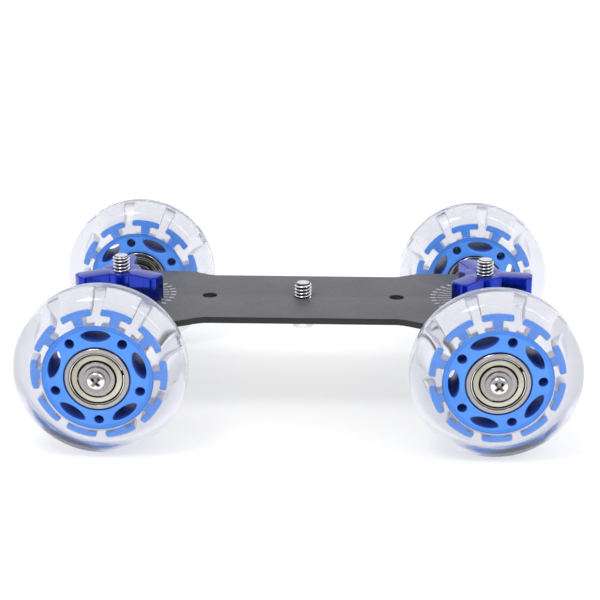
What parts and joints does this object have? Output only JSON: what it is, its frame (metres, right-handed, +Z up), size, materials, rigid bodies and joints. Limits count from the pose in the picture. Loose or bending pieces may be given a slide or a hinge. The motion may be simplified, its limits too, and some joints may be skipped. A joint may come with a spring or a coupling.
{
  "type": "camera skater dolly",
  "caption": "Low table-top camera dolly: a flat waisted plate with a camera stud, on steerable trucks with clear skate wheels.",
  "frame": {"origin": "on the floor, under the middle of the plate", "axes": "+X along the plate towards the right-hand truck, +Y along the axles towards the rear wheels, +Z up"},
  "size_m": [0.1964, 0.1352, 0.06],
  "materials": {
    "plate": "satin black anodised",
    "axle_bars": "satin black anodised",
    "knobs": "blue anodised",
    "bolts": "bright zinc plated",
    "camera_screw": "bright turned steel",
    "axle_screws": "nickel plated",
    "washers": "nickel plated",
    "bearing_outer_rings": "ground steel with pressed shields",
    "bearing_inner_rings": "ground steel",
    "ball_cages": "polished balls in a pressed cage",
    "spacers": "turned",
    "hubs": "moulded blue",
    "tyres": "clear cast polyurethane"
  },
  "bodies": {
    "base": {"base_plate": "plate", "camera_screw": "camera_screw", "camera_screw_nut": "bolts", "camera_screw_lock_washer": "washers"},
    "left_truck": {"left_axle_bar": "axle_bars", "left_pivot_bolt": "bolts", "front_left_bearing_spacer": "spacers", "front_left_axle_washer": "washers", "front_left_axle_screw": "axle_screws", "front_left_outer_bearing_inner_ring": "bearing_inner_rings", "front_left_inner_bearing_inner_ring": "bearing_inner_rings", "rear_left_bearing_spacer": "spacers", "rear_left_axle_washer": "washers", "rear_left_axle_screw": "axle_screws", "rear_left_outer_bearing_inner_ring": "bearing_inner_rings", "rear_left_inner_bearing_inner_ring": "bearing_inner_rings"},
    "left_washer": {"left_knob_washer": "washers"},
    "left_knob": {"left_lock_knob": "knobs"},
    "right_truck": {"right_axle_bar": "axle_bars", "right_pivot_bolt": "bolts", "front_right_bearing_spacer": "spacers", "front_right_axle_washer": "washers", "front_right_axle_screw": "axle_screws", "front_right_outer_bearing_inner_ring": "bearing_inner_rings", "front_right_inner_bearing_inner_ring": "bearing_inner_rings", "rear_right_bearing_spacer": "spacers", "rear_right_axle_washer": "washers", "rear_right_axle_screw": "axle_screws", "rear_right_outer_bearing_inner_ring": "bearing_inner_rings", "rear_right_inner_bearing_inner_ring": "bearing_inner_rings"},
    "right_washer": {"right_knob_washer": "washers"},
    "right_knob": {"right_lock_knob": "knobs"},
    "front_left_wheel": {"front_left_tyre": "tyres", "front_left_hub": "hubs", "front_left_outer_bearing_outer_ring": "bearing_outer_rings", "front_left_inner_bearing_outer_ring": "bearing_outer_rings"},
    "front_left_ball_cages": {"front_left_outer_bearing_ball_cage": "ball_cages", "front_left_inner_bearing_ball_cage": "ball_cages"},
    "front_right_wheel": {"front_right_tyre": "tyres", "front_right_hub": "hubs", "front_right_outer_bearing_outer_ring": "bearing_outer_rings", "front_right_inner_bearing_outer_ring": "bearing_outer_rings"},
    "front_right_ball_cages": {"front_right_outer_bearing_ball_cage": "ball_cages", "front_right_inner_bearing_ball_cage": "ball_cages"},
    "rear_left_wheel": {"rear_left_tyre": "tyres", "rear_left_hub": "hubs", "rear_left_outer_bearing_outer_ring": "bearing_outer_rings", "rear_left_inner_bearing_outer_ring": "bearing_outer_rings"},
    "rear_left_ball_cages": {"rear_left_outer_bearing_ball_cage": "ball_cages", "rear_left_inner_bearing_ball_cage": "ball_cages"},
    "rear_right_wheel": {"rear_right_tyre": "tyres", "rear_right_hub": "hubs", "rear_right_outer_bearing_outer_ring": "bearing_outer_rings", "rear_right_inner_bearing_outer_ring": "bearing_outer_rings"},
    "rear_right_ball_cages": {"rear_right_outer_bearing_ball_cage": "ball_cages", "rear_right_inner_bearing_ball_cage": "ball_cages"}
  },
  "joints": [
    {"name": "left_truck_steer", "type": "hinge", "parent": "base", "child": "left_truck", "pos_m": [-0.0682, 0, 0.0361], "axis": [0, 0, 1], "range_deg": [-30, 30]},
    {"name": "left_washer_lift", "type": "slide", "parent": "left_truck", "child": "left_washer", "axis": [0, 0, 1], "range_m": [0, 0.0013]},
    {"name": "left_knob_turn", "type": "hinge", "parent": "left_washer", "child": "left_knob", "pos_m": [-0.0682, 0, 0.0394], "axis": [0, 0, 1], "range_deg": [0, 360]},
    {"name": "right_truck_steer", "type": "hinge", "parent": "base", "child": "right_truck", "pos_m": [0.0682, 0, 0.0361], "axis": [0, 0, 1], "range_deg": [-30, 30]},
    {"name": "right_washer_lift", "type": "slide", "parent": "right_truck", "child": "right_washer", "axis": [0, 0, 1], "range_m": [0, 0.0013]},
    {"name": "right_knob_turn", "type": "hinge", "parent": "right_washer", "child": "right_knob", "pos_m": [0.0682, 0, 0.0394], "axis": [0, 0, 1], "range_deg": [0, 360]},
    {"name": "front_left_wheel_spin", "type": "hinge", "parent": "left_truck", "child": "front_left_wheel", "pos_m": [-0.0682, -0.054, 0.03], "axis": [0, 1, 0], "continuous": true},
    {"name": "front_left_cage_spin", "type": "hinge", "parent": "left_truck", "child": "front_left_ball_cages", "pos_m": [-0.0682, -0.054, 0.03], "axis": [0, 1, 0], "continuous": true},
    {"name": "front_right_wheel_spin", "type": "hinge", "parent": "right_truck", "child": "front_right_wheel", "pos_m": [0.0682, -0.054, 0.03], "axis": [0, 1, 0], "continuous": true},
    {"name": "front_right_cage_spin", "type": "hinge", "parent": "right_truck", "child": "front_right_ball_cages", "pos_m": [0.0682, -0.054, 0.03], "axis": [0, 1, 0], "continuous": true},
    {"name": "rear_left_wheel_spin", "type": "hinge", "parent": "left_truck", "child": "rear_left_wheel", "pos_m": [-0.0682, 0.054, 0.03], "axis": [0, 1, 0], "continuous": true},
    {"name": "rear_left_cage_spin", "type": "hinge", "parent": "left_truck", "child": "rear_left_ball_cages", "pos_m": [-0.0682, 0.054, 0.03], "axis": [0, 1, 0], "continuous": true},
    {"name": "rear_right_wheel_spin", "type": "hinge", "parent": "right_truck", "child": "rear_right_wheel", "pos_m": [0.0682, 0.054, 0.03], "axis": [0, 1, 0], "continuous": true},
    {"name": "rear_right_cage_spin", "type": "hinge", "parent": "right_truck", "child": "rear_right_ball_cages", "pos_m": [0.0682, 0.054, 0.03], "axis": [0, 1, 0], "continuous": true}
  ],
  "couplings": [
    {"joint": "left_washer_lift", "follows": "left_knob_turn", "m_per_rad": 0.00020213},
    {"joint": "right_washer_lift", "follows": "right_knob_turn", "m_per_rad": 0.00020213},
    {"joint": "front_left_cage_spin", "follows": "front_left_wheel_spin", "ratio": 0.63233},
    {"joint": "front_right_cage_spin", "follows": "front_right_wheel_spin", "ratio": 0.63233},
    {"joint": "rear_left_cage_spin", "follows": "rear_left_wheel_spin", "ratio": 0.63233},
    {"joint": "rear_right_cage_spin", "follows": "rear_right_wheel_spin", "ratio": 0.63233}
  ]
}
